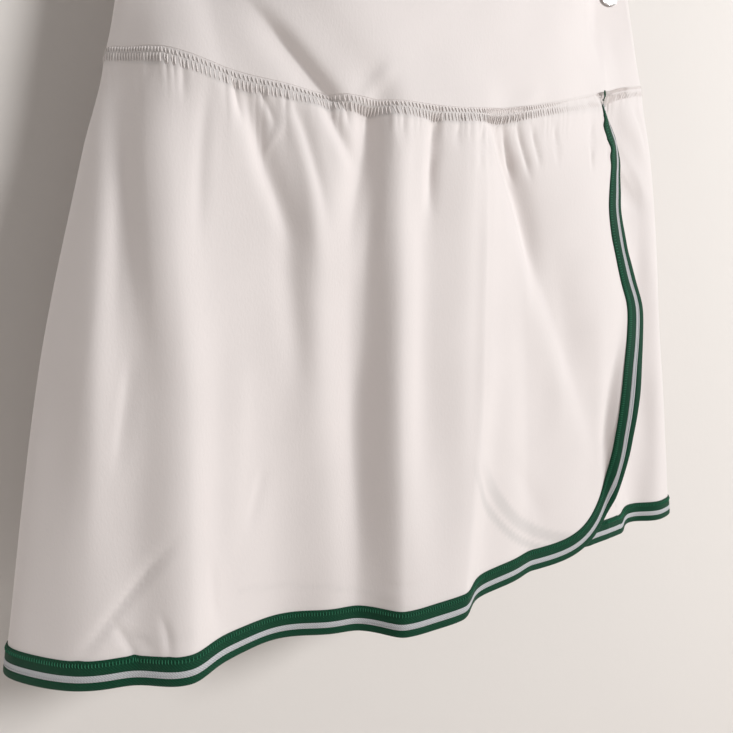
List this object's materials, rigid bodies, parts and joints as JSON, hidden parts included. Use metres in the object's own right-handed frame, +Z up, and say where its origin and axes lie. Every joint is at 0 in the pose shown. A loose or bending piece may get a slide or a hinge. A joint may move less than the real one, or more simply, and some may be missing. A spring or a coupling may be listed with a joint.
{
  "type": "skort on a clip hanger",
  "caption": "Wrap skort with a plain yoke, gathered knit skirt, striped tape edging and inner shorts, held by the clips of a metal trouser hanger with a swan-neck hook.",
  "frame": {"origin": "underside of the hook's crown, where the hanger rests on its rail", "axes": "+Z up, -Y the front of the garment, -X the wearer's right-hand side"},
  "size_m": [0.3979, 0.086, 0.488],
  "materials": {
    "cloth": "smooth matt off-white jersey",
    "shorts_cloth": "smooth matt off-white jersey",
    "tape": "ribbed knit tape, dark green with a pale stripe",
    "hanger_metal": "polished chrome plate"
  },
  "bodies": {
    "root": {"yoke_front": "cloth", "yoke_back": "cloth", "skirt_front_over": "cloth", "skirt_front_under": "cloth", "skirt_back": "cloth", "tape_front_over": "tape", "tape_front_under": "tape", "tape_back": "tape", "shorts_right_leg": "shorts_cloth", "shorts_left_leg": "shorts_cloth", "hanger_hook": "hanger_metal", "hanger_socket": "hanger_metal", "hanger_bar": "hanger_metal", "hanger_cap_a": "hanger_metal", "clip_link_a": "hanger_metal", "clip_pin_a": "hanger_metal", "clip_spring_a1": "hanger_metal", "clip_spring_a2": "hanger_metal", "clip_jaw_front_a": "hanger_metal", "clip_jaw_back_a": "hanger_metal", "hanger_cap_b": "hanger_metal", "clip_link_b": "hanger_metal", "clip_pin_b": "hanger_metal", "clip_spring_b1": "hanger_metal", "clip_spring_b2": "hanger_metal", "clip_jaw_front_b": "hanger_metal", "clip_jaw_back_b": "hanger_metal"}
  },
  "joints": []
}
